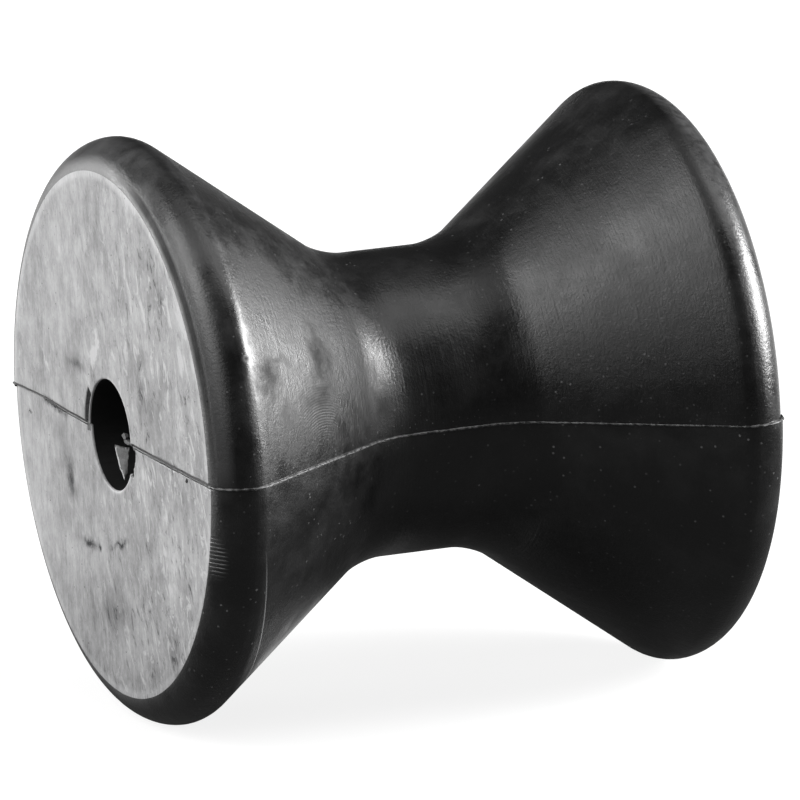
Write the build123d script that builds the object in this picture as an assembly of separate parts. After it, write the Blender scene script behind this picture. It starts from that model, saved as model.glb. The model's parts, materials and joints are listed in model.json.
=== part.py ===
from build123d import *
import math
import os

# A rubber roller that guides the bow of a boat onto its trailer. It is one moulding: two wide
# flanges whose inner sides fall as cones to a narrow waist, with a plain bore for the shaft.
# The bore runs along Y, the origin is halfway along it, and the mould parted on the plane z = 0.

# Overall sizes, in millimetres
overall_length = 76.2
flange_diameter = 73.3
waist_diameter = 38.2
bore_diameter = 13.9

# Where the cones would meet the waist if the corners there were sharp, and the fillet in them
waist_length = 17.3
waist_fillet_radius = 11.7

# The rim runs from the end face to the crease, the sharp line where the cone begins. Beside the
# crease it has a narrow land, then a rounding that the flat end face cuts off before it has
# turned a full right angle.
rim_width = 5.6
end_round_radius = 4.6
end_round_turn = 80

# The bead of flash that the mould's parting line leaves along the outside. It is trimmed off
# a little short of the end faces, where the bracket's cheeks bear.
flash_height = 0.35
flash_thickness = 0.4
flash_end_gap = 0.5

# Share of the straight run beside a corner that its fillet may use up
usable_share = 0.9

half_length = overall_length / 2
flange_radius = flange_diameter / 2
waist_radius = waist_diameter / 2
bore_radius = bore_diameter / 2

# Corners of the section, as (distance from the axis, distance along the axis from mid-length)
crease = (flange_radius, half_length - rim_width)
waist_corner = (waist_radius, waist_length / 2)
cone_angle = math.atan2(crease[0] - waist_corner[0], crease[1] - waist_corner[1])


def end_rounding():
    """The arc from the rim's land to the edge of the flat end face."""
    rise = end_round_radius * math.sin(math.radians(end_round_turn))
    centre = (flange_radius - end_round_radius, half_length - rise)
    return CenterArc(centre, end_round_radius, 0, end_round_turn)


def quarter_section():
    """The rubber cut along the axis, from mid-length to one end."""
    rounding = end_rounding()
    straights = Polyline(
        rounding @ 1,
        (bore_radius, half_length),
        (bore_radius, 0),
        (waist_radius, 0),
        waist_corner,
        crease,
        rounding @ 0,
    )
    section = make_face(straights + rounding)
    corner = section.vertices().sort_by_distance(Vector(*waist_corner))[0]
    largest = usable_share * waist_length / 2 / math.tan(cone_angle / 2)
    return fillet(corner, min(waist_fillet_radius, largest))


def half_section():
    """The rubber cut along the axis, on one side of the bore."""
    quarter = quarter_section()
    return quarter + mirror(quarter, about=Plane.XZ)


def parting_flash(section):
    """A thin fin on the parting plane that follows one side's outline, rooted in the rubber."""
    root = (bore_radius + waist_radius) / 2
    kept_width = flange_radius + flash_height - root
    kept_length = overall_length - 2 * flash_end_gap
    kept = Pos(root + kept_width / 2, 0) * Rectangle(kept_width, kept_length)
    grown = offset(section, flash_height, kind=Kind.INTERSECTION)
    return extrude(grown & kept, flash_thickness / 2, both=True)


def roller_body():
    """The whole moulding, with its flash on both sides."""
    section = half_section()
    fin = parting_flash(section)
    rubber = Rot(0, 90, 0) * revolve(section, Axis.Y)
    return rubber + fin + Rot(0, 180, 0) * fin


os.makedirs("parts", exist_ok=True)
export_step(roller_body(), "parts/roller_body.step")
print("cone angle from the axis:", round(math.degrees(cone_angle), 2), "degrees")
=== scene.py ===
import json
import math

import bmesh
import bpy
from mathutils import Matrix, Vector, noise


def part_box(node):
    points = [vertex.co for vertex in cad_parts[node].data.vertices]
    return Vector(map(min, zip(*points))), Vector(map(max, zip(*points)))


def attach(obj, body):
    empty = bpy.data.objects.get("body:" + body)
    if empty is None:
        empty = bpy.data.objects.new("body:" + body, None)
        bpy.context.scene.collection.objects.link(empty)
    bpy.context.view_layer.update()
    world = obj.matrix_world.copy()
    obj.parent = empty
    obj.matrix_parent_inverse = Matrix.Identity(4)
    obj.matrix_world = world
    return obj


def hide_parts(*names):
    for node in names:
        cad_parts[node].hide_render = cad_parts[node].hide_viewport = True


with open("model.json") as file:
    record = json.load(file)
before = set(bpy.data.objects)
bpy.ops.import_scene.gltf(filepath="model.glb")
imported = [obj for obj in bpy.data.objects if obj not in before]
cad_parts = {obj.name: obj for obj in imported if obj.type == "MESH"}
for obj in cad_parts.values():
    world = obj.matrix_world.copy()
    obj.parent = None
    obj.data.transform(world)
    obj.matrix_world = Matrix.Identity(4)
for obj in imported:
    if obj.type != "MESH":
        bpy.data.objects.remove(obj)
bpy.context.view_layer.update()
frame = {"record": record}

MM = 0.001

# Sizes of the moulding, in metres, from the frame where it states them
low_corner, high_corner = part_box("roller_body")
HALF_LENGTH = high_corner.y
FLANGE_RADIUS = high_corner.z
BORE_RADIUS = frame["record"]["mounts"][0]["dims"]["r_mm"] * MM
WAIST_RADIUS = 19.1 * MM
WAIST_CORNER = 8.65 * MM
RIM_WIDTH = 5.6 * MM

# How far from mid-length a point counts as lying on an end face
ON_FACE = HALF_LENGTH - 0.001 * MM

# Roundings of the section
END_ROUND = 4.6 * MM
END_ROUND_TURN = math.radians(80)
CREASE_ROUND = 3.0 * MM
WAIST_FILLET = 11.7 * MM
MOUTH_ROUND = 0.25 * MM

# The two mould halves met a little out of line, with the step between these two heights
HALF_SHIFT = 0.14 * MM
STEP_LOW = -0.06 * MM
STEP_HIGH = 0.12 * MM

# The two crevices beside the parting line on an end face: lower edge, middle and upper edge,
# how deep each is, and how far to the left it starts
UPPER_GROOVE = (0.12 * MM, 0.25 * MM, 0.4 * MM)
UPPER_DEPTH = 0.3 * MM
UPPER_START = -30 * MM
LOWER_GROOVE = (-0.37 * MM, -0.28 * MM, -0.19 * MM)
LOWER_DEPTH = 0.2 * MM
LOWER_START = -23 * MM

# How the line bows up on its left and wanders, where it crosses an end face
BOW_HEIGHT = 0.28 * MM
BOW_PLACE = -23 * MM
BOW_LENGTH = 7 * MM
FACE_LINE_WANDER = 0.09 * MM

# Heights at which the mesh is cut along the parting line, so that step and crevices have edges
PARTING_CUTS = (*LOWER_GROOVE, STEP_LOW, *UPPER_GROOVE)

# The bead of flash along the line where the halves met, with a nib near each end face
BEAD_ROOT = 0.25 * MM
BEAD_HEIGHT = 0.2 * MM
BEAD_RAGGED = 0.16 * MM
BEAD_FOOT_WIDTH = 0.34 * MM
BEAD_TOP_WIDTH = 0.1 * MM
BEAD_STEP = 0.22 * MM
BEAD_WANDER = 0.05 * MM
BEAD_LOWEST = 0.03 * MM
BEAD_HIGHEST = 0.34 * MM
NIB_HEIGHT = 0.14 * MM
NIB_PLACE = 1.9 * MM
NIB_LENGTH = 0.9 * MM

TURN_STEPS = 360

# Near its mouth the bore, and round it the end face, are cut finer than the rest of the section
MOUTH_DEPTH = 3 * MM
MOUTH_RING = 2.2 * MM
MOUTH_CUT = 0.3 * MM
RING_CUT = 0.16 * MM
BORE_CUT = 3.5 * MM
PLAIN_CUT = 0.9 * MM
ROUNDING_CUT = 0.5 * MM

FACE, MOULDED, BORE, TORN, CREVICE = range(5)

# Where the mouth of the bore is sunk and torn, as turns in degrees from +X towards +Z, how far out
# and how deep
SUNK_TURNS = (146, 187)
SUNK_RADII = (7.15 * MM, 8.35 * MM)
SUNK_DEPTH = 0.75 * MM
TORN_TURNS = (-31, -4)
TORN_RADIUS = 7.75 * MM
TORN_DEPTH = 1.7 * MM
TORN_WIDENING = 0.8 * MM


def section_corners(end):
    """Corners of the section on one side of mid-length, from the bore out: radius, y and rounding."""
    reach = END_ROUND * math.tan(END_ROUND_TURN / 2)
    land = HALF_LENGTH - END_ROUND * math.sin(END_ROUND_TURN)
    face_edge = FLANGE_RADIUS - END_ROUND * (1 - math.cos(END_ROUND_TURN))
    rows = (
        (BORE_RADIUS, HALF_LENGTH - MOUTH_DEPTH, 0),
        (BORE_RADIUS, HALF_LENGTH, MOUTH_ROUND),
        (BORE_RADIUS + MOUTH_RING, HALF_LENGTH, 0),
        (face_edge, HALF_LENGTH, 0),
        (FLANGE_RADIUS, land + reach, END_ROUND),
        (FLANGE_RADIUS, HALF_LENGTH - RIM_WIDTH, CREASE_ROUND),
        (WAIST_RADIUS, WAIST_CORNER, WAIST_FILLET),
    )
    return [(radius, end * y, rounding) for radius, y, rounding in rows]


def cut_length(middle):
    """How long an edge of the section may be where it lies."""
    radius = middle.x
    if radius < BORE_RADIUS + 0.01 * MM:
        return MOUTH_CUT if abs(middle.y) > HALF_LENGTH - MOUTH_DEPTH else BORE_CUT
    if radius < BORE_RADIUS + MOUTH_RING:
        return RING_CUT
    return PLAIN_CUT


def section_chain(bm):
    """The closed outline of the section at z = 0, its corners rounded and its straights cut up."""
    corners = section_corners(-1) + section_corners(1)[::-1]
    verts = [bm.verts.new((radius, y, 0)) for radius, y, _ in corners]
    for i, vert in enumerate(verts):
        bm.edges.new((vert, verts[(i + 1) % len(verts)]))
    for vert, (_, _, rounding) in zip(verts, corners):
        if not rounding:
            continue
        ways = [(e.other_vert(vert).co - vert.co).normalized() for e in vert.link_edges]
        turn = math.pi - ways[0].angle(ways[1])
        bmesh.ops.bevel(
            bm,
            geom=[vert],
            offset=rounding * math.tan(turn / 2),
            offset_type="OFFSET",
            segments=max(4, round(turn * rounding / ROUNDING_CUT)),
            profile=0.5,
            affect="VERTICES",
            material=-1,
        )
    for edge in list(bm.edges):
        middle = (edge.verts[0].co + edge.verts[1].co) / 2
        cuts = math.ceil(edge.calc_length() / cut_length(middle)) - 1
        if cuts > 0:
            bmesh.ops.subdivide_edges(bm, edges=[edge], cuts=cuts)
    return bm.edges[:]


def ragged(place, scale, seed=0.0):
    """Smooth noise from -1 to 1 at a place, for waves of about the given length."""
    return noise.noise(place / scale + Vector((seed, seed, seed)))


def soft_step(value, low, high):
    """0 below low, 1 above high and smooth between."""
    t = min(1.0, max(0.0, (value - low) / (high - low)))
    return t * t * (3 - 2 * t)


def angle_between(angle, low, high, soft):
    """1 where an angle in degrees lies between low and high, falling off over soft degrees."""
    return soft_step(angle, low - soft, low + soft) * (1 - soft_step(angle, high - soft, high + soft))


def groove_depth(x, z):
    """How deep the crevices beside the parting line on an end face are."""
    depth = 0.0
    upper = (*UPPER_GROOVE, UPPER_DEPTH, UPPER_START)
    lower = (*LOWER_GROOVE, LOWER_DEPTH, LOWER_START)
    for low, middle, high, deepest, start in (upper, lower):
        if not low < z < high or x < start:
            continue
        share = 1 - abs(z - middle) / (high - middle)
        uneven = 0.75 + 0.5 * ragged(Vector((x, 0, middle)), 1.6 * MM, 7.0)
        depth = max(depth, deepest * share * uneven)
    return depth


def mouth_damage(co, radius, angle):
    """How deep the mouth of the bore is sunk or torn at a point of the near end face."""
    inner, outer = SUNK_RADII
    sunk = SUNK_DEPTH * angle_between(angle, *SUNK_TURNS, 1.2)
    sunk *= soft_step(radius, inner - 0.1 * MM, inner + 0.06 * MM)
    sunk *= 1 - soft_step(radius, outer - 0.08 * MM, outer + 0.08 * MM)
    reach = TORN_RADIUS + 0.2 * MM * ragged(co, 0.8 * MM, 3.0)
    torn = TORN_DEPTH * angle_between(angle, *TORN_TURNS, 2.0)
    torn *= 1 - soft_step(radius, reach, reach + 0.15 * MM)
    return max(sunk, torn)


def parting_wave(x):
    """How far the parting line on the end face wanders from z = 0."""
    slow = BOW_HEIGHT * math.exp(-(((x - BOW_PLACE) / BOW_LENGTH) ** 2))
    return slow + FACE_LINE_WANDER * ragged(Vector((x, 0, 0)), 3.2 * MM, 1.0)


def shape_vertex(vert):
    """Moves one vertex of the plain turned body to where the worn moulding has it."""
    co = vert.co
    radius = math.hypot(co.x, co.z)
    angle = math.degrees(math.atan2(co.z, co.x))
    on_face = abs(co.y) > ON_FACE
    inside = radius < BORE_RADIUS + 0.3 * MM and not on_face
    x, y, z = co
    if y < 0 and inside:
        torn = angle_between(angle, *TORN_TURNS, 2.0)
        torn *= 1 - soft_step(y + HALF_LENGTH, 1.2 * MM, 2.4 * MM)
        grow = 1 + torn * TORN_WIDENING / radius
        x, z = x * grow, z * grow
    side = (z - STEP_LOW) / (STEP_HIGH - STEP_LOW) * 2 - 1
    y = y * (1 - HALF_SHIFT / HALF_LENGTH) - max(-1.0, min(1.0, side)) * HALF_SHIFT
    if on_face:
        near = math.exp(-((co.z / (1.2 * MM)) ** 2))
        near *= soft_step(radius, BORE_RADIUS, BORE_RADIUS + 2 * MM)
        depth = groove_depth(co.x, co.z)
        if y < 0:
            depth = max(depth, mouth_damage(co, radius, angle))
        y -= math.copysign(depth, y)
        z += parting_wave(co.x) * near
    vert.co = (x, y, z)


def face_material(middle):
    """Which material a face of the plain turned body gets, by where its middle lies."""
    radius = math.hypot(middle.x, middle.z)
    angle = math.degrees(math.atan2(middle.z, middle.x)) % 360
    in_torn = TORN_TURNS[0] + 360 < angle < TORN_TURNS[1] + 360 and radius < TORN_RADIUS + 0.1 * MM
    if middle.y < TORN_DEPTH - HALF_LENGTH and in_torn:
        return BORE
    if abs(middle.y) <= ON_FACE:
        if radius > BORE_RADIUS + MOUTH_ROUND:
            return MOULDED
        return FACE if abs(middle.y) > HALF_LENGTH - MOUTH_ROUND else BORE
    # The sunk wall of the bore's mouth takes the darker torn rubber, partly as painted shade
    in_sunk = SUNK_TURNS[0] < angle < SUNK_TURNS[1]
    if middle.y < 0 and in_sunk and SUNK_RADII[0] < radius < SUNK_RADII[1] + 0.1 * MM:
        return TORN
    # The crevices take a near-black rubber as painted shade
    in_upper = UPPER_GROOVE[0] < middle.z < UPPER_GROOVE[2]
    in_lower = LOWER_GROOVE[0] < middle.z < LOWER_GROOVE[2] and middle.x > LOWER_START
    return CREVICE if in_upper or in_lower else FACE


def new_object(name, bm, materials):
    """A mesh object at the origin from a bmesh."""
    mesh = bpy.data.meshes.new(name)
    bm.to_mesh(mesh)
    bm.free()
    obj = bpy.data.objects.new(name, mesh)
    bpy.context.scene.collection.objects.link(obj)
    for material in materials:
        mesh.materials.append(material)
    return obj


def make_roller(materials):
    """The whole moulding: the section spun round the bore, then worn."""
    bm = bmesh.new()
    chain = section_chain(bm)
    bmesh.ops.spin(
        bm,
        geom=bm.verts[:] + chain,
        cent=(0, 0, 0),
        axis=(0, 1, 0),
        angle=math.tau,
        steps=TURN_STEPS,
        use_merge=True,
    )
    bmesh.ops.remove_doubles(bm, verts=bm.verts[:], dist=0.00005 * MM)
    for height in PARTING_CUTS:
        bmesh.ops.bisect_plane(
            bm,
            geom=bm.verts[:] + bm.edges[:] + bm.faces[:],
            dist=0.0001 * MM,
            plane_co=(0, 0, height),
            plane_no=(0, 0, 1),
        )
    bmesh.ops.recalc_face_normals(bm, faces=bm.faces[:])
    for face in bm.faces:
        face.smooth = True
        face.material_index = face_material(face.calc_center_median())
    for vert in bm.verts:
        shape_vertex(vert)
    return new_object("roller_moulding", bm, materials)


def outline_points():
    """Points a short step apart along the outside of the section, from face edge to face edge."""
    bm = bmesh.new()
    section_chain(bm)
    face_edge = FLANGE_RADIUS - END_ROUND * (1 - math.cos(END_ROUND_TURN))
    start = min(bm.verts, key=lambda v: (v.co - Vector((face_edge, -HALF_LENGTH, 0))).length)
    ahead = max((e.other_vert(start) for e in start.link_edges), key=lambda v: v.co.x)
    chain = [start, ahead]
    while abs(chain[-1].co.y) < ON_FACE:
        nexts = [e.other_vert(chain[-1]) for e in chain[-1].link_edges]
        chain.append(next(v for v in nexts if v is not chain[-2]))
    corners = [v.co.copy() for v in chain]
    bm.free()
    points = []
    for a, b in zip(corners, corners[1:]):
        steps = max(1, round((b - a).length / BEAD_STEP))
        points += [a.lerp(b, i / steps) for i in range(steps)]
    return points + [corners[-1]]


def bead_height(point, side):
    """How proud the flash stands at a point of the outline."""
    seed = 11.0 if side > 0 else 29.0
    wave = ragged(point, 4 * MM, seed)
    chips = ragged(point, 0.9 * MM, seed + 5)
    height = BEAD_HEIGHT + BEAD_RAGGED * (0.6 * wave + 0.5 * chips)
    end = HALF_LENGTH - abs(point.y)
    nib = math.exp(-(((end - NIB_PLACE) / NIB_LENGTH) ** 2))
    height += NIB_HEIGHT * nib
    return min(BEAD_HIGHEST, max(BEAD_LOWEST, height)) * soft_step(end, 0.05 * MM, 0.5 * MM)


def make_flash(material):
    """The ragged bead of flash along the parting line, on both sides of the body."""
    bm = bmesh.new()
    points = outline_points()
    foot = BEAD_FOOT_WIDTH / 2
    top = BEAD_TOP_WIDTH / 2
    for side in (1, -1):
        rings = []
        for i, point in enumerate(points):
            along = (points[min(i + 1, len(points) - 1)] - points[max(i - 1, 0)]).normalized()
            out = Vector((along.y, -along.x, 0))
            wander = BEAD_WANDER * ragged(point, 2.5 * MM, 41.0 + side)
            height = bead_height(point, side)
            lower_half = ((-BEAD_ROOT, -foot), (0, -foot), (height, -top))
            upper_half = ((height, top), (0, foot), (-BEAD_ROOT, foot))
            ring = []
            for reach, z in lower_half + upper_half:
                place = point + out * reach
                ring.append(bm.verts.new((side * place.x, place.y, z + wander)))
            rings.append(ring)
        for ring, following in zip(rings, rings[1:]):
            for i, vert in enumerate(ring):
                after = (i + 1) % len(ring)
                bm.faces.new((vert, ring[after], following[after], following[i]))
        bm.faces.new(rings[0])
        bm.faces.new(rings[-1])
    bmesh.ops.recalc_face_normals(bm, faces=bm.faces[:])
    for face in bm.faces:
        face.smooth = True
    return new_object("parting_flash", bm, [material])


# Small lumps of torn rubber, in millimetres: centre and half axes
LUMPS = (
    ((4.9, -37.9, 0.75), (0.75, 0.45, 0.4)),
    ((5.9, -37.8, 0.2), (1.1, 0.5, 0.35)),
    ((6.35, -37.85, 5.15), (0.35, 0.2, 0.3)),
    ((-22.6, -37.85, 0.35), (0.6, 0.22, 0.25)),
    ((25.1, -37.78, -0.8), (0.3, 0.25, 0.3)),
    ((23.9, -38.0, 0.45), (0.25, 0.1, 0.25)),
)

# The flap of skin in the mouth of the bore: its corners as x and z in millimetres, and how it lies
FLAP_TIP = (1.1, -1.0)
FLAP_FOOT = (4.0, -4.7)
FLAP_ROOT = (5.0, -0.7)
FLAP_DEPTH = 0.25 * MM
FLAP_THICKNESS = 0.3 * MM
FLAP_CURL = 0.35 * MM
FLAP_STEPS = 10


def add_flap(bm):
    """The three-cornered flap of skin in the mouth of the bore, curling inwards at its root."""
    grid = bmesh.ops.create_grid(bm, x_segments=FLAP_STEPS, y_segments=FLAP_STEPS, size=1)["verts"]
    tip, foot, root = (Vector((x, 0, z)) * MM for x, z in (FLAP_TIP, FLAP_FOOT, FLAP_ROOT))
    for face in bm.faces:
        if face.calc_center_median().x < 2 / FLAP_STEPS - 1:
            face.material_index = 1
    for vert in grid:
        across = (vert.co.x + 1) / 2
        down = (vert.co.y + 1) / 2
        free_edge = tip.lerp(foot, down) + Vector((-0.35, 0, -0.2)) * MM * math.sin(math.pi * down)
        held_edge = root.lerp(foot, down * 0.8)
        place = free_edge.lerp(held_edge, across)
        sag = FLAP_DEPTH + FLAP_CURL * across * across + 0.1 * MM * ragged(place, 0.9 * MM, 17.0)
        vert.co = Vector((place.x, -HALF_LENGTH + sag, place.z))
    bmesh.ops.solidify(bm, geom=bm.faces[:], thickness=FLAP_THICKNESS)


def make_scraps(materials):
    """The torn bits at the mouth of the bore and along the parting line of the near end face."""
    bm = bmesh.new()
    add_flap(bm)
    for centre, half_axes in LUMPS:
        ball = bmesh.ops.create_icosphere(bm, subdivisions=3, radius=1)["verts"]
        for vert in ball:
            vert.co *= 1 + 0.35 * ragged(vert.co + Vector(centre), 0.6)
        bmesh.ops.scale(bm, verts=ball, vec=Vector(half_axes) * MM)
        bmesh.ops.translate(bm, verts=ball, vec=Vector(centre) * MM)
    bmesh.ops.recalc_face_normals(bm, faces=bm.faces[:])
    for vert in bm.verts:
        vert.co.y = max(-HALF_LENGTH, vert.co.y)
    for face in bm.faces:
        face.smooth = True
    return new_object("torn_scraps", bm, materials)


class Nodes:
    """A short way to write a material's nodes."""

    def __init__(self, tree):
        self.tree = tree
        tree.nodes.clear()

    def add(self, kind, values=(), **settings):
        node = self.tree.nodes.new(kind)
        for name, value in settings.items():
            setattr(node, name, value)
        for name, value in dict(values).items():
            if isinstance(value, bpy.types.NodeSocket):
                self.tree.links.new(value, node.inputs[name])
            else:
                node.inputs[name].default_value = value
        return node

    def math(self, operation, a, b=0.0):
        return self.add("ShaderNodeMath", {0: a, 1: b}, operation=operation).outputs[0]

    def times(self, first, *others):
        """The product of values."""
        for other in others:
            first = self.math("MULTIPLY", first, other)
        return first

    def inverse(self, mask):
        """1 where a mask is 0, and 0 where it is 1."""
        return self.math("SUBTRACT", 1.0, mask)

    def away_from(self, value, centre):
        """How far a value lies from another, either way."""
        return self.math("ABSOLUTE", self.math("SUBTRACT", value, centre))

    def split(self, vector):
        """The x, y and z of a vector."""
        return self.add("ShaderNodeSeparateXYZ", {0: vector}).outputs

    def ramp(self, value, stops):
        """A value taken from between the first two stops to between the last two, and held there."""
        low, high, at_low, at_high = stops
        values = {"Value": value, 1: low, 2: high, 3: at_low, 4: at_high}
        return self.add("ShaderNodeMapRange", values).outputs[0]

    def noise(self, vector, scale, detail=2.0, roughness=0.5, distortion=0.0):
        values = {"Vector": vector, "Scale": scale, "Detail": detail, "Roughness": roughness}
        values["Distortion"] = distortion
        return self.add("ShaderNodeTexNoise", values).outputs[0]

    def spots(self, vector, scale, size):
        """1 in scattered round spots of about that share of a cell, and 0 between them."""
        near = self.add("ShaderNodeTexVoronoi", {"Vector": vector, "Scale": scale}).outputs["Distance"]
        return self.ramp(near, (size, size * 0.5, 0.0, 1.0))

    def stretch(self, vector, scale):
        """The vector scaled along each axis, so that a pattern on it is drawn out where it is small."""
        return self.add("ShaderNodeMapping", {"Vector": vector, "Scale": scale}).outputs[0]

    def patch(self, vector, centre, size, turn=(0.0, 0.0, 0.0)):
        """A soft blob, 1 at its centre and 0 beyond the half axes in size."""
        turn = tuple(math.radians(t) for t in turn)
        values = {"Vector": vector, "Location": centre, "Rotation": turn, "Scale": size}
        local = self.add("ShaderNodeMapping", values, vector_type="TEXTURE").outputs[0]
        blob = self.add("ShaderNodeTexGradient", {"Vector": local}, gradient_type="QUADRATIC_SPHERE")
        return blob.outputs["Fac"]

    def warp(self, vector, scale, reach):
        """The vector pushed about by noise, so that a round patch gets an uneven edge."""
        values = {"Vector": vector, "Scale": scale, "Detail": 4.0, "Roughness": 0.65}
        push = self.add("ShaderNodeTexNoise", values).outputs["Color"]
        push = self.vector_math("SUBTRACT", {0: push, 1: (0.5, 0.5, 0.5)})
        push = self.vector_math("SCALE", {0: push, "Scale": reach})
        return self.vector_math("ADD", {0: vector, 1: push})

    def vector_math(self, operation, values):
        return self.add("ShaderNodeVectorMath", values, operation=operation).outputs[0]

    def total(self, *terms):
        """The sum of products, each given as (value, factor)."""
        result = None
        for value, factor in terms:
            term = self.math("MULTIPLY", value, factor)
            result = term if result is None else self.math("ADD", result, term)
        return result

    def arcs(self, vector, centre, spacing, within):
        """Fine rings round a centre, a spacing apart, seen only within a mask."""
        shift = tuple(-c for c in centre)
        local = self.add("ShaderNodeMapping", {"Vector": vector, "Location": shift}).outputs[0]
        values = {"Vector": local, "Scale": math.tau / 20 / spacing, "Distortion": 1.6}
        values |= {"Detail": 2.0, "Detail Scale": 0.6}
        wave = self.add("ShaderNodeTexWave", values, wave_type="RINGS", rings_direction="SPHERICAL")
        return self.times(wave.outputs["Fac"], within)

    def colour(self, share, dark, light, limited=True):
        """A near neutral colour between two greys, a trace cooler than grey."""
        values = {0: share, 6: (dark, dark, dark * 1.02, 1), 7: (light, light, light * 1.01, 1)}
        return self.add("ShaderNodeMix", values, data_type="RGBA", clamp_factor=limited).outputs[2]

    def bump(self, height, distance, strength=1.0, before=None):
        """Relief from a height, laid over the relief that came before."""
        values = {"Height": height, "Distance": distance, "Strength": strength}
        if before is not None:
            values["Normal"] = before
        return self.add("ShaderNodeBump", values).outputs[0]


def new_material(name):
    """An empty material, and the short way to write its nodes."""
    material = bpy.data.materials.new(name)
    material.use_nodes = True
    return material, Nodes(material.node_tree)


def finish_material(nodes, colour, rough, normal, gloss=0.5):
    """Joins colour, roughness and relief in the surface of a rubber."""
    values = {"Base Color": colour, "Roughness": rough, "Normal": normal, "Specular IOR Level": gloss}
    shader = nodes.add("ShaderNodeBsdfPrincipled", values)
    output = nodes.add("ShaderNodeOutputMaterial")
    nodes.tree.links.new(shader.outputs[0], output.inputs[0])


def object_place(nodes):
    """Object coordinates in millimetres."""
    place = nodes.add("ShaderNodeTexCoord").outputs["Object"]
    return nodes.stretch(place, (1000, 1000, 1000))


def distance_from_axis(nodes, x, z):
    """How far a point lies from the middle of the bore, in millimetres."""
    squares = nodes.math("ADD", nodes.math("POWER", x, 2.0), nodes.math("POWER", z, 2.0))
    return nodes.math("SQRT", squares)


# Where a rim takes over from its cone, in millimetres along the bore from mid-length
RIM_BORDER = (31.9, 32.6)

# How high the relief of a material stands
FINE_RELIEF = 0.05 * MM
COARSE_RELIEF = 0.1 * MM
FIBRE_RELIEF = 0.08 * MM

# How far apart the arcs of the fingerprints lie, in millimetres
ARC_SPACING = 0.33

# Marks on the near end face, in millimetres: x, z, half width, half length, turn from upright in
# degrees, and how much lighter
FACE_MARKS = (
    (-4.2, 9.8, 1.3, 4.6, -28, 1.5),
    (-3.2, 12.0, 1.6, 2.0, -10, 0.35),
    (-21.5, 5.2, 0.5, 3.2, 40, 0.45),
    (-10.5, 7.0, 1.8, 7.0, 90, -0.4),
    (18.9, 19.9, 1.5, 3.4, -20, -0.5),
    (12.8, 2.0, 0.35, 0.9, 0, -1.0),
    (12.7, -2.3, 0.3, 1.4, 50, -0.9),
    (14.0, -3.6, 0.4, 2.2, 42, 0.6),
    (-28.3, -2.5, 0.3, 0.8, -50, -1.0),
    (-9.0, -15.6, 4.2, 1.3, 0, -1.0),
    (-5.6, -15.2, 1.1, 1.5, 20, -1.0),
    (1.4, -13.6, 0.8, 6.0, 108, -0.8),
    (-15.0, -8.5, 3.4, 6.5, 8, -0.7),
    (-0.6, -22.6, 5.5, 8.5, 90, -0.4),
    (19.3, -12.0, 3.6, 8.0, 5, 0.5),
    (24.0, 6.0, 3.0, 9.0, 5, 0.35),
    (15.0, 5.0, 6.0, 8.0, 20, -0.25),
    (-17.0, -4.0, 4.0, 6.0, 0, -0.3),
    (26.1, 9.5, 0.35, 1.2, 10, -0.7),
    (-19.5, -0.2, 0.9, 6.0, 90, -1.2),
    (11.5, 7.5, 1.6, 3.2, 30, -0.6),
    (6.5, 12.5, 1.2, 5.0, 8, 0.5),
)

# Handled places on the near cone and rim, in millimetres: centre, half axes, turn about the bore in
# degrees, how far in from its edge the place is at its full, and how much duller it is
HANDLED_PLACES = (
    ((24.5, -19.0, 12.5), (6.0, 4.2, 10.0), 20, 0.5, 0.22),
    ((27.5, -20.0, 8.0), (6.0, 5.5, 5.0), 0, 0.5, 0.22),
    ((30.5, -29.5, 12.5), (6.0, 4.5, 5.0), 0, 0.5, 0.2),
    ((22.0, -24.0, 24.0), (9.0, 9.0, 6.0), 0, 0.6, 0.25),
    ((18.5, -9.5, 4.0), (4.5, 4.0, 4.0), 0, 0.6, 0.25),
    ((17.0, -9.5, 10.7), (4.5, 4.5, 7.0), 0, 1.0, -0.11),
    ((28.0, -27.5, 18.0), (5.0, 3.5, 7.0), 0, 1.0, -0.08),
    ((33.2, -32.7, 15.4), (0.9, 0.9, 0.7), 0, 1.0, 0.7),
)


def face_marks(nodes, place):
    """The marks on the end face, lighter and darker ones added up, with uneven edges."""
    warped = nodes.warp(place, 0.6, 2.6)
    terms = []
    for x, z, width, length, turn, lighter in FACE_MARKS:
        blob = nodes.patch(warped, (x, -38.0, z), (width, 60.0, length), (0, -turn, 0))
        terms.append((nodes.ramp(blob, (0.0, 1.0, 0.0, 1.3)), lighter))
    return nodes.total(*terms)


def handled_places(nodes, place):
    """The handled places, as terms of a total."""
    terms = []
    for centre, half_axes, turn, full, duller in HANDLED_PLACES:
        blob = nodes.patch(place, centre, half_axes, (0, turn, 0))
        terms.append((nodes.ramp(blob, (0.0, full, 0.0, 1.0)), duller))
    return terms


def dust(nodes, place):
    """Specks that every moulded surface of the rubber carries, and debris along the parting line."""
    _, y, z = nodes.split(place)
    clusters = nodes.ramp(nodes.noise(place, 0.16, 3.0, 0.6), (0.5, 0.68, 0.25, 1.0))
    fine = nodes.times(nodes.spots(place, 0.75, 0.14), clusters)
    coarse = nodes.times(nodes.spots(place, 0.3, 0.042), nodes.ramp(clusters, (0.3, 0.9, 0.1, 1.0)))
    debris = nodes.times(
        nodes.spots(place, 1.3, 0.14),
        nodes.ramp(nodes.away_from(z, 0.9), (0.4, 2.2, 1.0, 0.0)),
        nodes.ramp(y, (-6.0, 2.0, 1.0, 0.3)),
    )
    return nodes.math("MAXIMUM", nodes.math("MAXIMUM", fine, coarse), debris)


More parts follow.
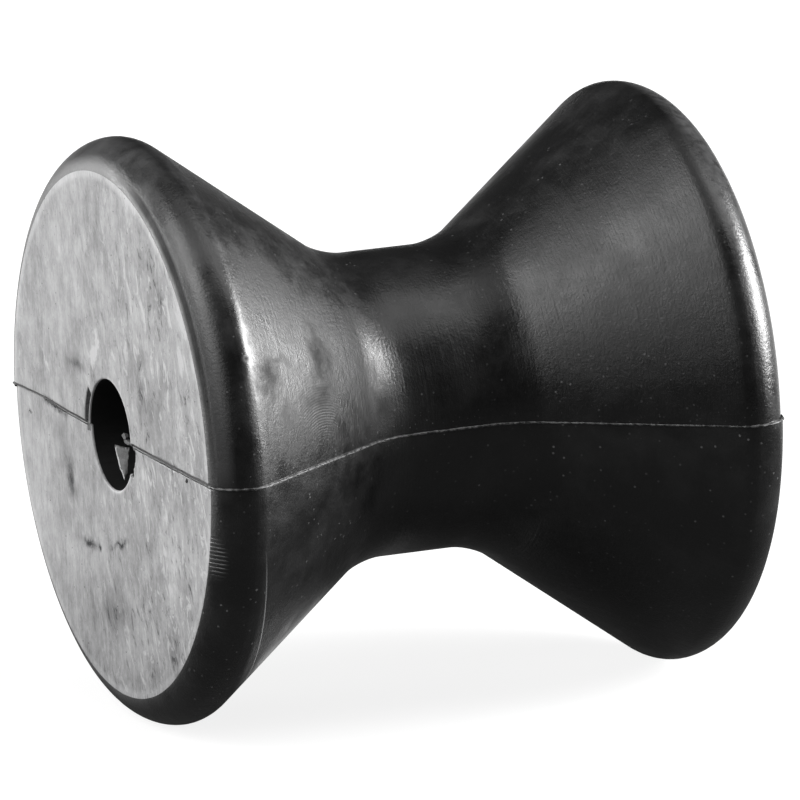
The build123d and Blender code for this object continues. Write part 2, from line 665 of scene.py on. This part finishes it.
def tool_marks(nodes, place, on_rim):
    """Turning marks round the cones and the waist, and on the rims marks drawn along the bore."""
    x, y, z = nodes.split(place)
    around = nodes.times(nodes.math("ARCTAN2", z, x), 2.2)
    rings = nodes.add("ShaderNodeCombineXYZ", {0: around, 1: y, 2: distance_from_axis(nodes, x, z)})
    turned = nodes.noise(nodes.stretch(rings.outputs[0], (1.0, 2.6, 2.6)), 1.0, 4.0, 0.6)
    drawn = nodes.noise(nodes.stretch(place, (2.4, 0.25, 2.4)), 1.0, 3.0, 0.6)
    return nodes.math("ADD", nodes.times(turned, nodes.inverse(on_rim)), nodes.times(drawn, on_rim))


def fingerprints(nodes, place):
    """Fine arcs in two places on the near cone."""
    low_mask = nodes.patch(place, (27.0, -20.5, 6.5), (9.0, 9.0, 6.5))
    high_mask = nodes.patch(place, (21.5, -14.0, 14.0), (8.0, 9.0, 9.0))
    low = nodes.arcs(place, (29.0, -20.0, -1.5), ARC_SPACING, low_mask)
    high = nodes.arcs(place, (33.0, -4.0, 16.0), ARC_SPACING, high_mask)
    return nodes.math("MAXIMUM", low, high)


def comb_strokes(nodes, place):
    """The comb of short strokes on the near rim."""
    mask = nodes.patch(place, (33.0, -37.4, -9.0), (3.0, 2.4, 4.6))
    values = {"Vector": place, "Scale": 0.6, "Distortion": 1.2, "Detail": 1.0}
    wave = nodes.add("ShaderNodeTexWave", values, bands_direction="Z").outputs["Fac"]
    return nodes.times(nodes.ramp(wave, (0.6, 0.9, 0.0, 1.0)), nodes.ramp(mask, (0.1, 0.4, 0.0, 1.0)))


def raised_line(nodes, y, z):
    """A thin line round the near cone just inside the crease, below the parting line."""
    drift = nodes.ramp(z, (-30.0, -8.0, -29.0, -31.9))
    line = nodes.ramp(nodes.away_from(y, drift), (0.06, 0.16, 1.0, 0.0))
    return nodes.times(line, nodes.ramp(z, (-20.0, -8.0, 1.0, 0.0)))


def moulded_rubber():
    """Black satin rubber as it came from the mould, with the marks of its tool and of handling, and
    with painted sheen and a line of painted shade by the rounded edges of its ends.
    """
    material, nodes = new_material("moulded_black_rubber")
    place = object_place(nodes)
    x, y, z = nodes.split(place)
    along = nodes.math("ABSOLUTE", y)
    on_rim = nodes.ramp(along, (*RIM_BORDER, 0.0, 1.0))
    clouds = nodes.noise(place, 0.14, 5.0, 0.62)
    grain = nodes.noise(place, 3.2, 3.0, 0.65)
    mottle = nodes.noise(place, 1.1, 2.0, 0.5)
    specks = dust(nodes, place)
    tool = tool_marks(nodes, place, on_rim)
    prints = fingerprints(nodes, place)
    comb = comb_strokes(nodes, place)
    line = raised_line(nodes, y, z)
    dotted = nodes.patch(place, (31.0, -30.5, 12.5), (5.0, 5.5, 4.5))
    dotted = nodes.times(nodes.spots(place, 2.3, 0.5), dotted)

    # The grey of the end face, partly a real bloom and partly painted sheen, runs out over its rounded
    # edge, which is dark on the right as painted shade
    bloom_and_sheen = nodes.times(
        nodes.ramp(along, (37.1, 38.0, 0.0, 1.0)),
        nodes.ramp(x, (-2.0, 15.0, 1.0, 0.0)),
        nodes.ramp(mottle, (0.3, 0.7, 0.75, 1.0)),
    )
    # Painted shade: a thin dark line along the rounded edge of each end, on its upper right side
    edge = nodes.times(
        nodes.ramp(nodes.away_from(along, 37.75), (0.12, 0.4, 1.0, 0.0)),
        nodes.ramp(x, (3.0, 14.0, 0.0, 1.0)),
        nodes.ramp(z, (-6.0, 4.0, 0.0, 1.0)),
    )

    # Grey haze on the upper part of both rims, and a lighter band of painted sheen beside the near end
    # face
    haze = nodes.times(
        nodes.ramp(y, (-30.5, -33.5, 0.0, 1.0)),
        nodes.ramp(z, (16.0, 32.0, 0.0, 1.0)),
        nodes.ramp(clouds, (0.38, 0.62, 0.3, 1.0)),
        nodes.ramp(nodes.away_from(y, -33.6), (0.2, 1.5, 0.2, 1.0)),
    )
    far_haze = nodes.times(
        nodes.ramp(y, (32.8, 34.2, 0.0, 1.0)),
        nodes.ramp(z, (8.0, 26.0, 0.0, 1.0)),
        nodes.ramp(mottle, (0.35, 0.65, 0.45, 1.0)),
    )
    # Painted sheen on the upper right of the near end's rounding
    painted_sheen_band = nodes.times(
        nodes.ramp(y, (-35.6, -36.6, 0.0, 1.0)),
        nodes.ramp(x, (6.0, 20.0, 0.0, 1.0)),
        nodes.ramp(z, (-2.0, 3.0, 0.0, 1.0)),
    )

    # Smudges on the near cone, and the smoother stretch of the crease above the parting line
    on_near_cone = nodes.times(nodes.ramp(y, (-8.0, -11.0, 0.0, 1.0)), nodes.inverse(on_rim))
    smears = nodes.noise(place, 0.42, 5.0, 0.7, 0.4)
    smudges = nodes.times(
        nodes.ramp(smears, (0.42, 0.64, 0.0, 1.0)),
        on_near_cone,
        nodes.ramp(z, (-4.0, 3.0, 0.1, 1.0)),
        nodes.ramp(z, (16.0, 26.0, 1.0, 0.4)),
    )
    glossy_crease = nodes.patch(place, (33.0, -32.8, 18.0), (6.0, 3.0, 14.0))
    glossy_crease = nodes.ramp(glossy_crease, (0.0, 0.4, 0.0, 1.0))
    uneven = nodes.inverse(nodes.times(glossy_crease, 0.85))

    light = nodes.total(
        (nodes.ramp(clouds, (0.45, 0.72, 0.0, 1.0)), 0.16),
        (nodes.ramp(grain, (0.52, 0.7, 0.0, 1.0)), 0.06),
        (prints, 0.15),
        (dotted, 0.3),
        (comb, 1.1),
        (line, 4.0),
        (bloom_and_sheen, 1.2),
        (haze, 1.4),
        (painted_sheen_band, 0.9),
        (far_haze, 1.0),
    )
    light = nodes.math("MAXIMUM", light, nodes.times(specks, 2.8))
    colour = nodes.colour(nodes.times(light, nodes.inverse(edge)), 0.003, 0.048, False)
    rough = nodes.total(
        (nodes.ramp(clouds, (0.34, 0.66, 0.25, 0.42)), 1.0),
        (mottle, 0.08),
        (specks, 0.3),
        (bloom_and_sheen, 0.2),
        (edge, 0.4),
        (nodes.ramp(y, (32.0, 34.0, 0.0, 1.0)), -0.05),
        (smudges, 0.17),
        (on_rim, -0.03),
        (glossy_crease, -0.1),
        *handled_places(nodes, place),
    )
    waves = nodes.times(mottle, nodes.ramp(on_rim, (0.0, 1.0, 1.0, 0.25)), uneven)
    strokes = nodes.total((prints, 0.45), (dotted, -1.0), (line, 1.2), (comb, 1.0))
    normal = nodes.bump(waves, COARSE_RELIEF, 0.3)
    normal = nodes.bump(nodes.times(smears, on_near_cone, uneven), COARSE_RELIEF, 0.4, normal)
    normal = nodes.bump(nodes.times(grain, uneven), FINE_RELIEF, 0.8, normal)
    normal = nodes.bump(nodes.times(tool, uneven), FINE_RELIEF, 0.6, normal)
    normal = nodes.bump(strokes, FINE_RELIEF, 1.0, normal)
    finish_material(nodes, colour, rough, normal)
    return material


def end_face_rubber():
    """The flat end faces: greyer, partly from a real bloom and partly as painted sheen, mottled with
    upright streaks, scuffs and pits, and the far face darker as painted shade.
    """
    material, nodes = new_material("end_face_rubber")
    place = object_place(nodes)
    x, y, z = nodes.split(place)
    radius = distance_from_axis(nodes, x, z)
    near = nodes.ramp(y, (-1.0, 1.0, 1.0, 0.0))
    streaks = nodes.noise(nodes.stretch(place, (1.0, 1.0, 0.07)), 1.8, 5.0, 0.62)
    leaning = {"Vector": place, "Rotation": (0, math.radians(24), 0)}
    leaning = nodes.add("ShaderNodeMapping", leaning).outputs[0]
    scuffs = nodes.noise(nodes.stretch(leaning, (1.0, 1.0, 0.4)), 0.6, 6.0, 0.68, 1.2)
    blotches = nodes.noise(place, 0.12, 5.0, 0.65)
    patches = nodes.noise(nodes.stretch(place, (1.0, 1.0, 0.6)), 0.4, 4.0, 0.6)
    threads = nodes.noise(nodes.stretch(place, (1.0, 1.0, 0.35)), 3.0, 4.0, 0.75, 0.6)
    grain = nodes.noise(place, 3.4, 3.0, 0.6)
    pits = nodes.math("MAXIMUM", nodes.spots(place, 0.42, 0.05), nodes.spots(place, 1.1, 0.07))

    # Flecks are denser to the right, the face's outer edge is lighter, the foot darker, and the bore's
    # mouth is lighter on its right as a painted highlight
    scuffed = nodes.ramp(x, (-12.0, 16.0, 0.25, 1.0))
    flecks = nodes.times(nodes.ramp(scuffs, (0.55, 0.63, 0.0, 1.0)), scuffed)
    dark_flecks = nodes.times(nodes.ramp(scuffs, (0.34, 0.42, 1.0, 0.0)), scuffed)
    rim_light = nodes.ramp(radius, (31.7, 32.3, 0.0, 1.0))
    # Painted highlight on the right side of the bore's mouth
    painted_mouth_highlight = nodes.times(
        nodes.ramp(radius, (7.2, 7.5, 1.0, 0.0)),
        nodes.ramp(x, (-4.0, 2.0, 0.0, 1.0)),
    )
    low_shade = nodes.ramp(z, (-31.0, -16.0, 1.0, 0.0))
    marks = nodes.times(face_marks(nodes, place), near, nodes.ramp(threads, (0.36, 0.62, 0.35, 1.15)))

    share = nodes.total(
        (streaks, 0.35),
        (blotches, 0.95),
        (patches, 0.7),
        (threads, 0.55),
        (grain, 0.15),
        (flecks, 0.45),
        (dark_flecks, -0.45),
        (marks, 0.85),
        (rim_light, 0.2),
        (painted_mouth_highlight, 0.3),
        (pits, -0.9),
        (low_shade, -0.2),
    )
    share = nodes.ramp(share, (0.76, 1.75, -0.32, 1.0))
    # Painted shade: the far end face gets a darker grey, since the right soft box lights it strongly
    share = nodes.times(share, nodes.ramp(near, (0.0, 1.0, 0.3, 1.0)))
    # The grey of the end faces is partly a real bloom and partly painted sheen
    colour = nodes.colour(share, 0.12, 0.42, False)
    dark_marks = nodes.math("MINIMUM", marks, 0.0)
    rough = nodes.total((nodes.ramp(share, (-0.32, 1.0, 0.68, 0.42)), 1.0), (dark_marks, -0.4))
    height = nodes.total((streaks, 1.0), (grain, 0.35), (flecks, 0.2), (pits, -1.0))
    finish_material(nodes, colour, rough, nodes.bump(height, FINE_RELIEF, 0.8))
    return material


def bore_rubber():
    """The bore's wall, dark and dull."""
    material, nodes = new_material("bore_rubber")
    marks = nodes.noise(nodes.stretch(object_place(nodes), (1.0, 0.12, 1.0)), 2.5, 4.0, 0.6)
    colour = nodes.colour(marks, 0.004, 0.012)
    rough = nodes.ramp(marks, (0.3, 0.7, 0.55, 0.7))
    finish_material(nodes, colour, rough, nodes.bump(marks, FINE_RELIEF, 0.6), 0.3)
    return material


def torn_rubber(name, dark, light):
    """Rubber that tore instead of leaving the mould clean: rough, with a fibrous grain. Its near-black
    copy in the crevices is painted shade, and its darker grey on the sunk wall of the mouth is partly
    painted shade.
    """
    material, nodes = new_material(name)
    fibres = nodes.noise(nodes.stretch(object_place(nodes), (1.0, 0.3, 1.0)), 3.0, 4.0, 0.65)
    colour = nodes.colour(nodes.ramp(fibres, (0.35, 0.65, 0.0, 1.0)), dark, light)
    rough = nodes.ramp(fibres, (0.3, 0.7, 0.5, 0.7))
    finish_material(nodes, colour, rough, nodes.bump(fibres, FIBRE_RELIEF, 0.8), 0.35)
    return material


def flash_rubber():
    """The trimmed bead of flash, a little greyer than the body."""
    material, nodes = new_material("flash_rubber")
    chips = nodes.noise(object_place(nodes), 1.6, 3.0, 0.6)
    colour = nodes.colour(nodes.ramp(chips, (0.42, 0.64, 0.0, 1.0)), 0.008, 0.15)
    rough = nodes.ramp(chips, (0.3, 0.7, 0.35, 0.55))
    finish_material(nodes, colour, rough, nodes.bump(chips, FINE_RELIEF, 0.7))
    return material


# The photograph's viewpoint, fitted to the outline in units of the flange radius
VIEW_AZIMUTH = math.radians(67.647)
VIEW_ELEVATION = math.radians(12.575)
VIEW_ROLL = math.radians(-1.868)
VIEW_DISTANCE = 38.04 * FLANGE_RADIUS
VIEW_OFFSET = (0.0200 * FLANGE_RADIUS, 0.0008 * FLANGE_RADIUS)
LENS_PIXELS = 11176
IMAGE_PIXELS = 800
SENSOR_WIDTH = 36
NEAREST_SEEN = 0.01
FARTHEST_SEEN = 50


def make_camera():
    """The camera, at the photograph's viewpoint."""
    back = Vector(
        (
            math.sin(VIEW_AZIMUTH) * math.cos(VIEW_ELEVATION),
            -math.cos(VIEW_AZIMUTH) * math.cos(VIEW_ELEVATION),
            math.sin(VIEW_ELEVATION),
        )
    )
    right = Vector((math.cos(VIEW_AZIMUTH), math.sin(VIEW_AZIMUTH), 0))
    up = back.cross(right)
    tilt_right = math.cos(VIEW_ROLL) * right + math.sin(VIEW_ROLL) * up
    tilt_up = -math.sin(VIEW_ROLL) * right + math.cos(VIEW_ROLL) * up
    place = back * VIEW_DISTANCE + tilt_right * VIEW_OFFSET[0] + tilt_up * VIEW_OFFSET[1]
    camera = bpy.data.objects.new("camera", bpy.data.cameras.new("camera"))
    camera.data.lens = LENS_PIXELS / IMAGE_PIXELS * SENSOR_WIDTH
    camera.data.sensor_width = SENSOR_WIDTH
    camera.data.clip_start = NEAREST_SEEN
    camera.data.clip_end = FARTHEST_SEEN
    turn = Matrix((tilt_right, tilt_up, back)).transposed().to_4x4()
    camera.matrix_world = Matrix.Translation(place) @ turn
    bpy.context.scene.collection.objects.link(camera)
    bpy.context.scene.camera = camera


# Soft boxes round the roller: name, place, width and height in metres, and power in watts
SOFT_BOXES = (
    ("right_soft_box", (0.26, 1.22, 0.39), (0.6, 0.6), 44),
    ("back_left_soft_box", (-0.91, -0.91, 0.17), (0.7, 0.4), 14),
    ("top_left_soft_box", (0.0, -0.87, 0.97), (0.7, 0.7), 8.8),
    ("top_right_soft_box", (0.19, 0.52, 1.18), (0.7, 0.7), 4.2),
    ("front_left_soft_box", (0.48, -1.02, 0.65), (0.7, 0.7), 3.8),
    ("overhead_soft_box", (0.0, 0.0, 1.3), (0.8, 0.8), 1.8),
)


def soft_box(name, place, size, power):
    """A lamp as wide and high as size says, that faces the roller and isn't seen itself."""
    lamp = bpy.data.lights.new(name, "AREA")
    lamp.shape = "RECTANGLE"
    lamp.size, lamp.size_y = size
    lamp.energy = power
    obj = bpy.data.objects.new(name, lamp)
    place = Vector(place)
    obj.matrix_world = Matrix.Translation(place) @ place.to_track_quat("Z", "Y").to_matrix().to_4x4()
    bpy.context.scene.collection.objects.link(obj)
    obj.visible_camera = False


# How strongly the white surroundings light the rubber and show in its gloss
FILL = 0.05
FLOOR_HALF_WIDTH = 6


def ray_kinds(nodes):
    """The kinds of ray that meet a surface, and those that show it straight or through glass."""
    ray = nodes.add("ShaderNodeLightPath").outputs
    return ray, nodes.math("MAXIMUM", ray["Is Camera Ray"], ray["Is Transmission Ray"])


def make_world():
    """White where it is seen, and a weak fill light otherwise."""
    world = bpy.data.worlds.new("studio")
    bpy.context.scene.world = world
    world.use_nodes = True
    nodes = Nodes(world.node_tree)
    seen = ray_kinds(nodes)[1]
    strength = nodes.ramp(seen, (0.0, 1.0, FILL, 1.0))
    background = nodes.add("ShaderNodeBackground", {"Color": (1, 1, 1, 1), "Strength": strength})
    output = nodes.add("ShaderNodeOutputWorld")
    world.node_tree.links.new(background.outputs[0], output.inputs[0])


def make_floor():
    """The floor: it keeps the shadow, and glows white to the camera and in part of the gloss, where the
    glow is a painted reflection.
    """
    material, nodes = new_material("pale_floor")
    ray, seen = ray_kinds(nodes)
    # To glossy rays the floor is a darker grey than to the camera, painted shade in the rubber's gloss
    grey = nodes.ramp(ray["Is Glossy Ray"], (0.0, 1.0, 0.22, 0.08))
    diffuse = nodes.add("ShaderNodeBsdfDiffuse", {"Color": grey})
    place = nodes.add("ShaderNodeTexCoord").outputs["Object"]
    away = nodes.add("ShaderNodeVectorMath", {0: place}, operation="LENGTH").outputs["Value"]
    seen = nodes.times(seen, nodes.ramp(away, (0.2, 0.6, 0.85, 1.0)))

    # The floor glows white to glossy rays behind the roller and in a strip between its flanges, a
    # painted reflection on the lower cones of the rubber
    x, y, _ = nodes.split(place)
    behind = nodes.ramp(x, (-0.03, -0.1, 0.0, 1.0))
    between = nodes.times(
        nodes.ramp(nodes.away_from(y, -0.007), (0.006, 0.013, 1.0, 0.0)),
        nodes.ramp(x, (0.012, -0.004, 0.0, 1.0)),
    )
    white = nodes.ramp(nodes.math("MAXIMUM", behind, between), (0.0, 1.0, FILL, 1.0))
    strength = nodes.math("ADD", seen, nodes.times(ray["Is Glossy Ray"], white))
    glow = nodes.add("ShaderNodeEmission", {"Color": (1, 1, 1, 1), "Strength": strength})
    both = nodes.add("ShaderNodeAddShader", {0: diffuse.outputs[0], 1: glow.outputs[0]})
    output = nodes.add("ShaderNodeOutputMaterial")
    material.node_tree.links.new(both.outputs[0], output.inputs[0])
    bm = bmesh.new()
    bmesh.ops.create_grid(bm, x_segments=1, y_segments=1, size=FLOOR_HALF_WIDTH)
    bmesh.ops.translate(bm, verts=bm.verts[:], vec=(0, 0, low_corner.z))
    new_object("floor", bm, [material])


bpy.context.scene.view_settings.view_transform = "Standard"

materials = [
    end_face_rubber(),
    moulded_rubber(),
    bore_rubber(),
    # Rough torn rubber, darker than the end face; on the sunk wall of the bore's mouth it is partly
    # real torn rubber and partly painted shade
    torn_rubber("torn_rubber", 0.03, 0.08),
    # The crevices beside the parting line get a near-black rubber, painted shade in these recesses
    torn_rubber("crevice_painted_shade", 0.003, 0.02),
]
roller = make_roller(materials)
flash = make_flash(flash_rubber())
scraps = make_scraps([materials[TORN], materials[FACE]])
for piece in (roller, flash, scraps):
    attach(piece, "root")
    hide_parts("roller_body")

make_floor()
make_world()
make_camera()
for name, place, size, power in SOFT_BOXES:
    soft_box(name, place, size, power)
